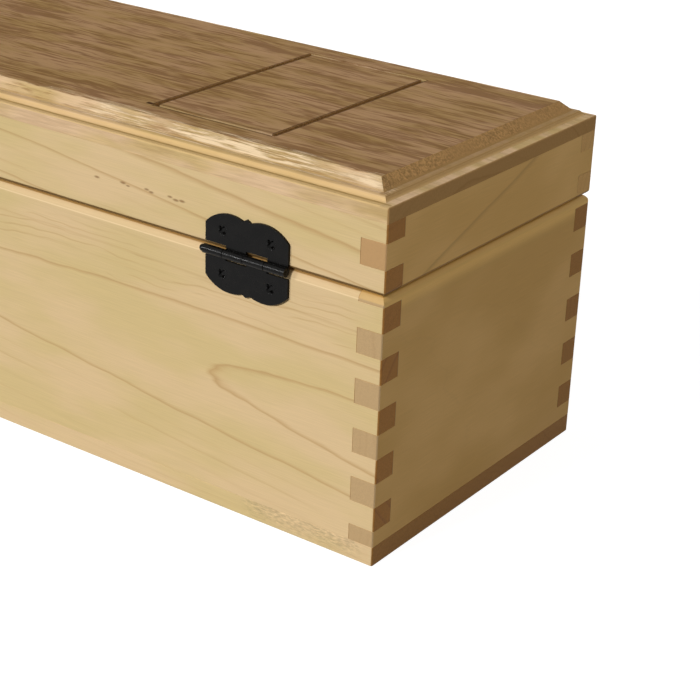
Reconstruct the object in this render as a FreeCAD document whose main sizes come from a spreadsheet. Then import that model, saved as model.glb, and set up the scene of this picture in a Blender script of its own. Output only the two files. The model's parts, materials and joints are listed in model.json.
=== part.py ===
import FreeCAD, Part
import math
import os
import re
import Sketcher

# A long finger-jointed wooden box with a hinged lid.
# X runs along the box, Y from the front (latch side) to the back (hinge side), Z is up.
# The origin lies on the resting face, at the middle of the box. All sizes are in millimetres.

sizes = [
    # The wooden case.
    ("case_length", 440.0, "outside length of the box"),
    ("case_depth", 148.0, "outside depth of the box, front to back"),
    ("long_thickness", 11.0, "thickness of the front and back boards and rails"),
    ("end_thickness", 11.0, "thickness of the end boards and rails"),
    ("bottom_thickness", 8.0, "thickness of the planted bottom board"),
    ("wall_height", 100.4, "height of the case walls above the bottom board"),
    ("finger", 10.0, "height of one finger of the corner joints"),
    ("case_first_finger", 6.7, "lowest finger of the long boards, above the wall's foot"),
    ("case_round", 3.5, "radius along the outer top edge of the case"),
    ("corner_chamfer", 0.5, "chamfer of the upright outer corners"),
    # The lid.
    ("seam_gap", 0.3, "daylight between the case and the closed lid"),
    ("rail_height", 27.3, "height of the lid rails"),
    ("lid_first_notch", 10.0, "lowest notch of the long lid rails, above the seam"),
    ("lid_round", 2.2, "radius along the outer bottom edge of the lid"),
    ("panel_edge", 6.0, "thickness of the top panel at its edge"),
    ("panel_rise", 6.0, "height of the raised field above the panel's ledge"),
    ("arris_round", 0.8, "radius along the outer top edge of the panel"),
    ("ledge_width", 3.0, "flat ledge round the moulding"),
    ("wave_width", 3.0, "width of the low wave between the ledge and the shelf"),
    ("wave_height", 2.1, "height of the shelf above the ledge"),
    ("shelf_width", 1.3, "narrow shelf between the wave and the slope"),
    ("field_inset", 11.5, "distance of the raised field from the panel's edge"),
    ("groove_width", 2.0, "width of the decorative groove"),
    ("groove_depth", 1.5, "depth of the decorative groove"),
    ("groove_from_end", 97.2, "middle of a groove rectangle from the end of the box"),
    ("groove_length", 58.0, "groove rectangle along the box, to the middle of the groove"),
    ("groove_span", 101.0, "groove rectangle across the box, to the middle of the groove"),
    # The two butt hinges on the back.
    ("hinge_from_end", 61.0, "middle of a hinge from the end of the box"),
    ("hinge_drop", 0.6, "hinge axis below the top edge of the case"),
    ("leaf_width", 38.6, "width of a hinge leaf"),
    ("leaf_reach", 15.4, "height of a leaf from the hinge axis to its cusp"),
    ("leaf_thickness", 1.0, "thickness of the leaf's sheet"),
    ("lobe_radius", 15.5, "radius of the two lobes of a leaf, centred on the hinge axis"),
    ("lobe_offset", 7.8, "centre of a lobe from the middle of the leaf"),
    ("cusp_width", 3.8, "width of the small cusp between the lobes"),
    ("barrel_radius", 1.8, "outside radius of the rolled knuckles"),
    ("pin_radius", 0.7, "radius of the hinge pin"),
    ("pin_clearance", 0.05, "radial running clearance round the pin"),
    ("knuckle_gap", 0.3, "gap between neighbouring knuckles"),
    ("hinge_step", 0.3, "lower edge of the flat sheet, above the hinge axis"),
    ("knuckle_relief", 1.2, "gap between a leaf and the other leaf's knuckles"),
    ("pin_head_radius", 1.4, "radius of the upset head of the pin"),
    ("pin_head_height", 1.5, "height of the upset head of the pin"),
    ("leaf_screw_spacing", 22.6, "distance between the two screws of a leaf"),
    ("leaf_screw_height", 8.6, "distance of the leaf's screws from the hinge axis"),
    # The wood screws.
    ("screw_head_radius", 2.2, "radius of a countersunk screw head"),
    ("screw_radius", 1.2, "radius of a screw's shank"),
    ("screw_length", 9.0, "length of a screw below the plate's face"),
    ("screw_clearance", 0.05, "clearance round a screw, rivet or stud in its plate"),
    # The swing hook latch at the front.
    ("plate_width", 26.0, "width of a latch plate"),
    ("plate_lobe_radius", 12.0, "radius of the two lobes of a latch plate"),
    ("plate_lobe_offset", 5.2, "centre of a lobe from the middle of the latch plate"),
    ("plate_cusp_width", 2.8, "width of the cusp of a latch plate"),
    ("plate_set_back", 0.5, "latch plates above and below the rounded seam edges"),
    ("rivet_height", 5.5, "rivet and stud from the straight edge of their plate"),
    ("plate_screw_spacing", 17.0, "distance between the two screws of a latch plate"),
    ("rivet_radius", 1.2, "radius of the pivot rivet's shank"),
    ("rivet_head_radius", 2.4, "radius of the pivot rivet's head"),
    ("stud_radius", 1.5, "radius of the keeper stud's shank"),
    ("stud_head_radius", 2.9, "radius of the keeper stud's head"),
    ("head_thickness", 0.9, "thickness of the rivet and stud heads"),
    ("hook_gap", 0.3, "gap between the hook and what lies in front of and behind it"),
    ("hook_thickness", 1.1, "thickness of the hook"),
    ("hook_clearance", 0.3, "clearance between the hook's throat and the stud"),
    ("hook_eye_radius", 3.2, "outside radius of the hook's eye"),
    ("hook_arm_width", 4.2, "width of the hook's arm at the eye"),
    ("hook_neck_width", 3.0, "width of the hook's arm at the head"),
    ("hook_head_radius", 4.4, "outside radius of the hook's head"),
    ("hook_mouth_flare", 1.2, "widening of the hook's mouth on the eye's side"),
    ("hook_tab_radius", 1.9, "radius of the finger tab at the hook's tip"),
]

# Heights and places that several pieces share, as formulas of the sizes above.
case_top = "(bottom_thickness + wall_height)"
lid_bottom = "(bottom_thickness + wall_height + seam_gap)"
panel_bottom = "(bottom_thickness + wall_height + seam_gap + rail_height)"
axis_height = "(bottom_thickness + wall_height - hinge_drop)"
left_end = "-case_length / 2"
right_end = "case_length / 2"
front_face = "-case_depth / 2"
back_face = "case_depth / 2"
knuckle_count = 4

doc = FreeCAD.newDocument("finger_jointed_box")
sheet = doc.addObject("Spreadsheet::Sheet", "Sizes")
nodes = []


def fill_sheet():
    # One row for each size: its name, its value and what it means.
    for row, (alias, value, note) in enumerate(sizes, start=1):
        sheet.set("A%d" % row, alias)
        sheet.set("B%d" % row, str(value))
        sheet.set("C%d" % row, note)
        sheet.setAlias("B%d" % row, alias)
    doc.recompute()


aliases = {alias for alias, value, note in sizes}


def sized(text):
    # A formula with each size's name written as a reference to the sheet.
    return re.sub(r"[a-z_]+", lambda word: "Sizes." + word[0] if word[0] in aliases else word[0], text)


def number(text):
    return float(sheet.evalExpression(sized(text)))


def bind(item, prop, text):
    item.setExpression(prop, sized(text))


def place(item, x="0", y="0", z="0", axis=None, angle=0):
    # The item's origin is bound to formulas, and it may be turned about one axis.
    if axis is not None:
        turn = FreeCAD.Rotation(axis, angle)
        item.Placement = FreeCAD.Placement(FreeCAD.Vector(0, 0, 0), turn)
    for letter, text in zip("xyz", (x, y, z)):
        if text != "0":
            bind(item, "Placement.Base." + letter, text)
    return item


def node(item, label):
    item.Label = label
    nodes.append(item)
    return item


# Sketches -----------------------------------------------------------------------------------

def new_body(name):
    return doc.addObject("PartDesign::Body", name)


def new_sketch(body, role, name):
    sketch = body.newObject("Sketcher::SketchObject", name)
    plane = next(item for item in body.Origin.OriginFeatures if item.Role == role)
    sketch.AttachmentSupport = [(plane, "")]
    sketch.MapMode = "FlatFace"
    return sketch


def fix_point(sketch, geometry, position, x, y):
    # A point's two coordinates are bound to formulas, or laid on an axis where they are 0.
    for kind, text, axis in (("DistanceX", x, -2), ("DistanceY", y, -1)):
        if text == "0":
            sketch.addConstraint(Sketcher.Constraint("PointOnObject", geometry, position, axis))
        elif text is not None:
            value = number(text)
            index = sketch.addConstraint(Sketcher.Constraint(kind, -1, 1, geometry, position, value))
            bind(sketch, "Constraints[%d]" % index, text)


def angle_of(point, centre):
    return math.atan2(point.y - centre.y, point.x - centre.x)


def draw_outline(sketch, corners, arcs=None):
    # A closed outline through corners given as formulas. arcs maps the index of an edge to
    # its centre's two formulas, the coordinate that fixes it, and its turning direction.
    arcs = arcs or {}
    points = [FreeCAD.Vector(number(x), number(y), 0) for x, y in corners]
    edges = []
    for index, start in enumerate(points):
        end = points[(index + 1) % len(points)]
        if index not in arcs:
            edges.append((sketch.addGeometry(Part.LineSegment(start, end)), 1, 2))
            continue
        centre_x, centre_y, fixed, turning = arcs[index]
        centre = FreeCAD.Vector(number(centre_x), number(centre_y), 0)
        circle = Part.Circle(centre, FreeCAD.Vector(0, 0, 1), centre.distanceToPoint(start))
        if turning == "left":
            arc = Part.ArcOfCircle(circle, angle_of(start, centre), angle_of(end, centre))
            edges.append((sketch.addGeometry(arc), 1, 2))
        else:
            arc = Part.ArcOfCircle(circle, angle_of(end, centre), angle_of(start, centre))
            edges.append((sketch.addGeometry(arc), 2, 1))
    for index, (geometry, first, last) in enumerate(edges):
        following, following_first, unused = edges[(index + 1) % len(edges)]
        sketch.addConstraint(
            Sketcher.Constraint("Coincident", geometry, last, following, following_first))
        fix_point(sketch, geometry, first, *corners[index])
        if index in arcs:
            centre_x, centre_y, fixed, turning = arcs[index]
            if fixed == "x":
                fix_point(sketch, geometry, 3, centre_x, None)
            else:
                fix_point(sketch, geometry, 3, None, centre_y)


def draw_rectangle(sketch, left, bottom, right, top):
    draw_outline(sketch, [(left, bottom), (right, bottom), (right, top), (left, top)])


def draw_circle(sketch, x, y, radius):
    centre = FreeCAD.Vector(number(x), number(y), 0)
    geometry = sketch.addGeometry(Part.Circle(centre, FreeCAD.Vector(0, 0, 1), number(radius)))
    fix_point(sketch, geometry, 3, x, y)
    index = sketch.addConstraint(Sketcher.Constraint("Radius", geometry, number(radius)))
    bind(sketch, "Constraints[%d]" % index, radius)


def draw_box_plan(sketch):
    # The outline of the box seen from above, with its four corners chamfered.
    cut = "corner_chamfer"
    far_x = "case_length - corner_chamfer"
    far_y = "case_depth - corner_chamfer"
    draw_outline(sketch, [
        (cut, "0"), (far_x, "0"), ("case_length", cut), ("case_length", far_y),
        (far_x, "case_depth"), (cut, "case_depth"), ("0", far_y), ("0", cut)])


def draw_edge_rounds(sketch, width, height, radius, at_top):
    # The two slivers that leave a rounded edge on the left and right of a section.
    far = "%s - %s" % (width, radius)
    level = "%s - %s" % (height, radius) if at_top else radius
    edge = height if at_top else "0"
    turning_left, turning_right = ("right", "left") if at_top else ("left", "right")
    draw_outline(sketch, [("0", level), (radius, edge), ("0", edge)],
                 {0: (radius, level, "x", turning_left)})
    draw_outline(sketch, [(width, level), (far, edge), (width, edge)],
                 {0: (far, level, "x", turning_right)})


# Features -----------------------------------------------------------------------------------

def add_pad(body, sketch, length, backwards=False):
    pad = body.newObject("PartDesign::Pad", sketch.Name + "_pad")
    pad.Profile = sketch
    pad.Reversed = backwards
    bind(pad, "Length", length)
    sketch.Visibility = False
    doc.recompute()
    return pad


def add_pocket(body, sketch, depth=None):
    # Without a depth the pocket goes right through, both ways.
    pocket = body.newObject("PartDesign::Pocket", sketch.Name + "_pocket")
    pocket.Profile = sketch
    if depth is None:
        pocket.Type = "ThroughAll"
        pocket.SideType = "Symmetric"
    else:
        bind(pocket, "Length", depth)
    doc.recompute()
    return pocket


def repeat_upwards(body, pocket, sketch, pitch, count):
    pattern = body.newObject("PartDesign::LinearPattern", pocket.Name + "_row")
    pattern.Originals = [pocket]
    pattern.Direction = (sketch, ["V_Axis"])
    pattern.Mode = "Spacing"
    bind(pattern, "Offset", pitch)
    bind(pattern, "Occurrences", count)
    body.Tip = pattern
    doc.recompute()


def combine(kind, name, base, tool):
    item = doc.addObject(kind, name)
    item.Base = base
    item.Tool = tool
    return item


def compound(name, parts):
    item = doc.addObject("Part::Compound", name)
    item.Links = parts
    return item


def revolve(name, profile, axis):
    item = doc.addObject("Part::Revolution", name)
    item.Source = profile
    item.Axis = axis
    item.Angle = 360
    item.Solid = True
    return item


# The finger-jointed boards -------------------------------------------------------------------

def notch_count(height, notch_bottom):
    return "floor((%s - (%s)) / (2 * finger)) + 1" % (height, notch_bottom)


def cut_notches(body, role, length, depth, height, notch_bottom):
    # Notches at both ends of a board, repeated upwards at twice the finger's height.
    sketch = new_sketch(body, role, body.Name + "_notches")
    notch_top = "%s + finger" % notch_bottom
    draw_rectangle(sketch, "0", notch_bottom, depth, notch_top)
    draw_rectangle(sketch, "%s - %s" % (length, depth), notch_bottom, length, notch_top)
    pocket = add_pocket(body, sketch)
    repeat_upwards(body, pocket, sketch, "2 * finger", notch_count(height, notch_bottom))


def long_board_blank(name, height, notch_bottom, y, z):
    body = new_body(name)
    sketch = new_sketch(body, "XZ_Plane", name + "_face")
    draw_rectangle(sketch, "0", "0", "case_length", height)
    add_pad(body, sketch, "long_thickness")
    cut_notches(body, "XZ_Plane", "case_length", "end_thickness", height, notch_bottom)
    return place(body, left_end, y, z)


def end_board_blank(name, height, notch_bottom, x, z):
    body = new_body(name)
    sketch = new_sketch(body, "YZ_Plane", name + "_face")
    draw_rectangle(sketch, "0", "0", "case_depth", height)
    add_pad(body, sketch, "end_thickness")
    cut_notches(body, "YZ_Plane", "case_depth", "long_thickness", height, notch_bottom)
    return place(body, x, front_face, z)


def wall_envelope(name, height, radius, at_top, z):
    # The outside of four walls: chamfered upright corners and one rounded rim.
    body = new_body(name)
    plan = new_sketch(body, "XY_Plane", name + "_plan")
    draw_box_plan(plan)
    add_pad(body, plan, height)
    along = new_sketch(body, "YZ_Plane", name + "_long_rims")
    draw_edge_rounds(along, "case_depth", height, radius, at_top)
    add_pocket(body, along)
    across = new_sketch(body, "XZ_Plane", name + "_end_rims")
    draw_edge_rounds(across, "case_length", height, radius, at_top)
    add_pocket(body, across)
    return place(body, left_end, front_face, z)


def make_walls(prefix, suffix, height, long_notch, end_notch, z, envelope):
    # Four boards with interlocking fingers, shaped by the same envelope.
    blanks = {
        "front_" + suffix: long_board_blank(
            prefix + "front_blank", height, long_notch, front_face + " + long_thickness", z),
        "back_" + suffix: long_board_blank(
            prefix + "back_blank", height, long_notch, back_face, z),
        "left_end_" + suffix: end_board_blank(
            prefix + "left_blank", height, end_notch, left_end, z),
        "right_end_" + suffix: end_board_blank(
            prefix + "right_blank", height, end_notch, right_end + " - end_thickness", z),
    }
    for label, blank in blanks.items():
        node(combine("Part::Common", prefix + label + "_wood", blank, envelope), prefix + label)


def make_bottom_board():
    body = new_body("bottom_board_body")
    sketch = new_sketch(body, "XY_Plane", "bottom_plan")
    draw_box_plan(sketch)
    add_pad(body, sketch, "bottom_thickness")
    place(body, left_end, front_face)
    node(body, "case_bottom_board")


# The moulded top panel -----------------------------------------------------------------------

def draw_moulding_waste(sketch, width):
    # What the moulding takes off the left and right of a section: from the rounded outer
    # edge a flat ledge, a wave of two equal arcs, a narrow shelf and a straight slope up to
    # the field.
    top = "panel_edge + panel_rise"
    shelf = "panel_edge + wave_height"
    radius = "(pow(wave_width / 2; 2) + pow(wave_height / 2; 2)) / wave_height"
    wave_end = "ledge_width + wave_width"

    for from_edge, inward, outward in (("%s", "left", "right"), (width + " - (%s)", "right", "left")):
        edge = from_edge % "0"
        rounded = from_edge % "arris_round"
        ledge_end = from_edge % "ledge_width"
        shelf_start = from_edge % wave_end
        corners = [
            (edge, "panel_edge - arris_round"),
            (rounded, "panel_edge"),
            (ledge_end, "panel_edge"),
            (from_edge % "ledge_width + wave_width / 2", "panel_edge + wave_height / 2"),
            (shelf_start, shelf),
            (from_edge % (wave_end + " + shelf_width"), shelf),
            (from_edge % "field_inset", top),
            (edge, top),
        ]
        arcs = {
            0: (rounded, "panel_edge - arris_round", "x", outward),
            2: (ledge_end, "panel_edge + " + radius, "x", inward),
            3: (shelf_start, "%s - (%s)" % (shelf, radius), "x", outward),
        }
        draw_outline(sketch, corners, arcs)


def draw_groove_rectangle(sketch, centre_x):
    # Two nested rectangles, so that the pocket between them is the groove.
    for side in ("+", "-"):
        half_length = "(groove_length %s groove_width) / 2" % side
        half_span = "(groove_span %s groove_width) / 2" % side
        draw_rectangle(
            sketch,
            "%s - %s" % (centre_x, half_length), "case_depth / 2 - %s" % half_span,
            "%s + %s" % (centre_x, half_length), "case_depth / 2 + %s" % half_span)


def make_top_panel():
    body = new_body("top_panel_body")
    plan = new_sketch(body, "XY_Plane", "panel_plan")
    draw_box_plan(plan)
    add_pad(body, plan, "panel_edge + panel_rise")
    along = new_sketch(body, "YZ_Plane", "moulding_along")
    draw_moulding_waste(along, "case_depth")
    add_pocket(body, along)
    across = new_sketch(body, "XZ_Plane", "moulding_across")
    draw_moulding_waste(across, "case_length")
    add_pocket(body, across)
    grooves = new_sketch(body, "XY_Plane", "field_grooves")
    bind(grooves, "AttachmentOffset.Base.z", "panel_edge + panel_rise")
    draw_groove_rectangle(grooves, "groove_from_end")
    draw_groove_rectangle(grooves, "case_length - groove_from_end")
    add_pocket(body, grooves, "groove_depth")
    place(body, left_end, front_face, panel_bottom)
    node(body, "lid_top_panel")


# Screws and rivets ---------------------------------------------------------------------------

outward_up = FreeCAD.Vector(0, 1, 0)
along_box = FreeCAD.Vector(1, 0, 0)
upright = FreeCAD.Vector(0, 0, 1)


def plain_sketch(name, corners):
    sketch = doc.addObject("Sketcher::SketchObject", name)
    draw_outline(sketch, corners)
    return sketch


def screw_profile():
    # Half section of a countersunk wood screw, with the plate's face at height 0.
    return plain_sketch("screw_section", [
        ("0", "0"), ("screw_head_radius", "0"),
        ("screw_radius", "screw_radius - screw_head_radius"),
        ("screw_radius", "-screw_length"), ("0", "-screw_length")])


def screw_hole_profile():
    # The countersunk hole of a plate. The screw cuts its own way into the wood behind it.
    head = "screw_head_radius + screw_clearance"
    shank = "screw_radius + screw_clearance"
    return plain_sketch("screw_hole_section", [
        ("0", "leaf_thickness"), (head, "leaf_thickness"), (head, "0"),
        (shank, "screw_radius - screw_head_radius"), (shank, "-2 * leaf_thickness"),
        ("0", "-2 * leaf_thickness")])


def post_profile(name, radius, head_radius):
    # Half section of a rivet or stud: a shank through the plate and a head over the hook.
    under_head = "2 * hook_gap + hook_thickness"
    top = "%s + head_thickness" % under_head
    return plain_sketch(name, [
        ("0", "-leaf_thickness"), (radius, "-leaf_thickness"), (radius, under_head),
        (head_radius, under_head), (head_radius, top), ("0", top)])


def post_hole_profile(name, radius):
    wide = "%s + screw_clearance" % radius
    return plain_sketch(name, [
        ("0", "-2 * leaf_thickness"), (wide, "-2 * leaf_thickness"),
        (wide, "leaf_thickness"), ("0", "leaf_thickness")])


def at_places(name, profile, places):
    # One revolved copy of a profile at each place. A place at the front faces forwards.
    copies = []
    for index, (x, y, z, facing) in enumerate(places, start=1):
        item = revolve("%s_%d" % (name, index), profile, outward_up)
        if facing == "front":
            place(item, x, y, z, upright, 180)
        else:
            place(item, x, y, z)
        copies.append(item)
    return copies


# The hinges ----------------------------------------------------------------------------------

def lobed_plate(name, width, lobe_radius, lobe_offset, cusp_width, reach, bottom):
    # Sheet plate with a straight edge below and two round lobes with a cusp between them
    # above. The lobes' centres lie on height 0. Its back lies on the plane y = 0.
    body = new_body(name)
    sketch = new_sketch(body, "XZ_Plane", name + "_outline")
    middle = "%s / 2" % width
    left_centre = "%s - %s" % (middle, lobe_offset)
    right_centre = "%s + %s" % (middle, lobe_offset)
    side_top = "sqrt(pow(%s; 2) - pow(%s; 2))" % (lobe_radius, left_centre)
    notch_height = "sqrt(pow(%s; 2) - pow(%s - %s / 2; 2))" % (lobe_radius, lobe_offset, cusp_width)
    corners = [
        ("0", bottom), (width, bottom), (width, side_top),
        ("%s + %s / 2" % (middle, cusp_width), notch_height),
        (middle, reach),
        ("%s - %s / 2" % (middle, cusp_width), notch_height),
        ("0", side_top),
    ]
    arcs = {
        2: (right_centre, "0", "y", "left"),
        5: (left_centre, "0", "y", "left"),
    }
    draw_outline(sketch, corners, arcs)
    add_pad(body, sketch, "leaf_thickness", backwards=True)
    return body


def knuckle_start(index):
    return "%d * leaf_width / %d" % (index, knuckle_count)


def along_axis_cylinder(name, radius, start, length):
    # A cylinder on the hinge axis of a leaf that is still in its own frame.
    item = doc.addObject("Part::Cylinder", name)
    bind(item, "Radius", radius)
    bind(item, "Height", length)
    return place(item, start, "barrel_radius", "0", outward_up, 90)


def make_leaf_stock():
    # The stamped leaf in its own frame: x along the hinge axis, z from the axis to the cusp.
    # Its knuckles are the first and the third of four, and it is cut away round the others.
    plate = lobed_plate("leaf_plate", "leaf_width", "lobe_radius", "lobe_offset",
                        "cusp_width", "leaf_reach", "hinge_step")
    relief = new_sketch(plate, "XZ_Plane", "knuckle_reliefs")
    for index in range(1, knuckle_count, 2):
        draw_rectangle(
            relief,
            "%s - knuckle_gap / 2" % knuckle_start(index), "hinge_step",
            "%s + knuckle_gap / 2" % knuckle_start(index + 1), "barrel_radius + knuckle_relief")
    add_pocket(plate, relief)
    solids = [plate]
    for index in range(0, knuckle_count, 2):
        start = "%s + knuckle_gap / 2" % knuckle_start(index)
        length = "leaf_width / %d - knuckle_gap" % knuckle_count
        solids.append(along_axis_cylinder("knuckle_%d" % index, "barrel_radius", start, length))
    stock = doc.addObject("Part::MultiFuse", "leaf_stock")
    stock.Shapes = solids
    return stock


def leaf_screw_places():
    offset = "leaf_screw_spacing / 2"
    middle = "leaf_width / 2"
    return [
        ("%s - %s" % (middle, offset), "leaf_thickness", "leaf_screw_height", "back"),
        ("%s + %s" % (middle, offset), "leaf_thickness", "leaf_screw_height", "back"),
    ]


def make_pin_profile():
    # Half section of the pin along its axis, from its cut end to the outside of its head.
    head = "leaf_width + knuckle_gap"
    total = "%s + pin_head_height" % head
    return plain_sketch("pin_profile", [
        ("0", "0"), ("0", "pin_radius"), (head, "pin_radius"), (head, "pin_head_radius"),
        (total, "pin_head_radius"), (total, "0")])


def hinge_middles():
    return {
        "left": "%s + hinge_from_end" % left_end,
        "right": "%s - hinge_from_end" % right_end,
    }


def make_hinges(screw, screw_hole):
    # Both hinges. The case leaf is the lid leaf turned half round about a line through the
    # middle of the hinge, so that the knuckles of one stand between those of the other.
    stock = make_leaf_stock()
    bore = along_axis_cylinder("pin_bore", "pin_radius + pin_clearance", "-knuckle_gap",
                               "leaf_width + 2 * knuckle_gap")
    holes = at_places("leaf_hole", screw_hole, leaf_screw_places())
    openings = compound("leaf_openings", [bore] + holes)
    pin = make_pin_profile()
    for side, middle in hinge_middles().items():
        lid_leaf = combine("Part::Cut", side + "_lid_leaf_item", stock, openings)
        place(lid_leaf, "%s - leaf_width / 2" % middle, back_face, axis_height)
        node(lid_leaf, side + "_hinge_lid_leaf")
        case_leaf = combine("Part::Cut", side + "_case_leaf_item", stock, openings)
        place(case_leaf, "%s + leaf_width / 2" % middle, back_face, axis_height, outward_up, 180)
        node(case_leaf, side + "_hinge_case_leaf")
        pin_item = revolve(side + "_pin_item", pin, along_box)
        place(pin_item, "%s - leaf_width / 2" % middle, "%s + barrel_radius" % back_face, axis_height)
        node(pin_item, side + "_hinge_pin")
    drive_hinge_screws("lid", "+", screw)
    drive_hinge_screws("case", "-", screw)


def drive_hinge_screws(owner, sign, screw):
    # The screws of both hinges in the lid or in the case.
    outer_face = "%s + leaf_thickness" % back_face
    height = "%s %s leaf_screw_height" % (axis_height, sign)
    places = [
        ("%s %s leaf_screw_spacing / 2" % (middle, offset), outer_face, height, "back")
        for middle in hinge_middles().values() for offset in "-+"
    ]
    name = "hinge_%s_screws" % owner
    node(compound(name + "_group", at_places(name + "_item", screw, places)), name)


# The swing hook latch ------------------------------------------------------------------------

def make_latch(screw, screw_hole):
    # A lobed plate on the lid with the keeper stud, and the same plate turned half round on
    # the case with the rivet that the hook swings on.
    plate = lobed_plate("latch_plate", "plate_width", "plate_lobe_radius", "plate_lobe_offset",
                        "plate_cusp_width", "plate_lobe_radius", "0")
    stud_height = "(%s + lid_round + plate_set_back + rivet_height)" % lid_bottom
    pivot_height = "(%s - case_round - plate_set_back - rivet_height)" % case_top
    outer_face = "%s - leaf_thickness" % front_face
    rivet = post_profile("rivet_section", "rivet_radius", "rivet_head_radius")
    rivet_hole = post_hole_profile("rivet_hole_section", "rivet_radius")
    stud = post_profile("stud_section", "stud_radius", "stud_head_radius")
    stud_hole = post_hole_profile("stud_hole_section", "stud_radius")
    for owner, height, post, post_hole, post_label in (
            ("lid", stud_height, stud, stud_hole, "latch_keeper_stud"),
            ("case", pivot_height, rivet, rivet_hole, "latch_pivot_rivet")):
        screw_places = [
            ("%s plate_screw_spacing / 2" % sign, outer_face, height, "front") for sign in "-+"]
        post_place = [("0", outer_face, height, "front")]
        holes = at_places(owner + "_latch_hole", screw_hole, screw_places)
        holes += at_places(owner + "_latch_post_hole", post_hole, post_place)
        openings = compound(owner + "_latch_openings", holes)
        # The plate is turned to face forwards, and on the case upside down as well.
        shifted = compound(owner + "_latch_plate_placed", [plate])
        if owner == "lid":
            place(shifted, "-plate_width / 2", outer_face, "%s - rivet_height" % height)
        else:
            place(shifted, "plate_width / 2", outer_face, "%s + rivet_height" % height,
                  outward_up, 180)
        node(combine("Part::Cut", owner + "_latch_plate_item", shifted, openings),
             "latch_%s_plate" % owner)
        node(compound(owner + "_latch_screw_group",
                      at_places(owner + "_latch_screw", screw, screw_places)),
             "latch_%s_screws" % owner)
        node(at_places(post_label + "_item", post, post_place)[0], post_label)
    make_hook(outer_face, pivot_height, "(%s - %s)" % (stud_height, pivot_height))


def make_hook(outer_face, pivot_height, reach):
    # The hook hangs straight down from its rivet. Its throat opens towards the left.
    body = new_body("hook_body")
    eye = new_sketch(body, "XZ_Plane", "hook_eye")
    draw_circle(eye, "0", "0", "hook_eye_radius")
    add_pad(body, eye, "hook_thickness")
    arm = new_sketch(body, "XZ_Plane", "hook_arm")
    draw_outline(arm, [
        ("-hook_arm_width / 2", "0"), ("-hook_neck_width / 2", "-%s" % reach),
        ("hook_neck_width / 2", "-%s" % reach), ("hook_arm_width / 2", "0")])
    add_pad(body, arm, "hook_thickness")
    head = new_sketch(body, "XZ_Plane", "hook_head")
    draw_circle(head, "0", "-%s" % reach, "hook_head_radius")
    add_pad(body, head, "hook_thickness")
    tab = new_sketch(body, "XZ_Plane", "hook_tab")
    draw_circle(tab, "0", "-%s - hook_head_radius - hook_tab_radius / 2" % reach, "hook_tab_radius")
    add_pad(body, tab, "hook_thickness")
    bore = new_sketch(body, "XZ_Plane", "hook_bore")
    draw_circle(bore, "0", "0", "rivet_radius + pin_clearance")
    add_pocket(body, bore)
    throat = new_sketch(body, "XZ_Plane", "hook_throat")
    draw_circle(throat, "0", "-%s" % reach, "stud_radius + hook_clearance")
    add_pocket(body, throat)
    mouth = new_sketch(body, "XZ_Plane", "hook_mouth")
    half = "(stud_radius + hook_clearance)"
    draw_outline(mouth, [
        ("0", "-%s - %s" % (reach, half)),
        ("0", "-%s + %s" % (reach, half)),
        ("-hook_head_radius - hook_gap", "-%s + %s + hook_mouth_flare" % (reach, half)),
        ("-hook_head_radius - hook_gap", "-%s - %s" % (reach, half))])
    add_pocket(body, mouth)
    place(body, "0", "%s - hook_gap" % outer_face, pivot_height)
    node(body, "latch_hook")


# The whole box -------------------------------------------------------------------------------

def make_box():
    case_envelope = wall_envelope("case_envelope", "wall_height", "case_round", True,
                                  "bottom_thickness")
    make_walls("case_", "board", "wall_height", "(case_first_finger - finger)",
               "case_first_finger", "bottom_thickness", case_envelope)
    lid_envelope = wall_envelope("lid_envelope", "rail_height", "lid_round", False, lid_bottom)
    make_walls("lid_", "rail", "rail_height", "lid_first_notch",
               "(lid_first_notch - finger)", lid_bottom, lid_envelope)
    make_bottom_board()
    make_top_panel()
    screw = screw_profile()
    screw_hole = screw_hole_profile()
    make_hinges(screw, screw_hole)
    make_latch(screw, screw_hole)
    doc.recompute()


def check_model():
    for item in doc.Objects:
        if "Invalid" in item.State or "Error" in item.State:
            raise RuntimeError("%s failed: %s" % (item.Name, item.State))
    for item in nodes:
        if item.Shape.isNull() or not item.Shape.isValid():
            raise RuntimeError("%s has no valid shape" % item.Label)


def write_parts():
    os.makedirs("parts", exist_ok=True)
    for item in nodes:
        item.Shape.exportStep("parts/%s.step" % item.Label)
        box = item.Shape.BoundBox
        print("%-28s %d solids  x %.1f %.1f  y %.1f %.1f  z %.1f %.1f  volume %.1f" % (
            item.Label, len(item.Shape.Solids), box.XMin, box.XMax, box.YMin, box.YMax,
            box.ZMin, box.ZMax, item.Shape.Volume))


fill_sheet()
make_box()
check_model()
write_parts()
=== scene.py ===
import bpy
import bmesh
import json
import math
import numpy as np
from mathutils import Matrix, Vector

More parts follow.
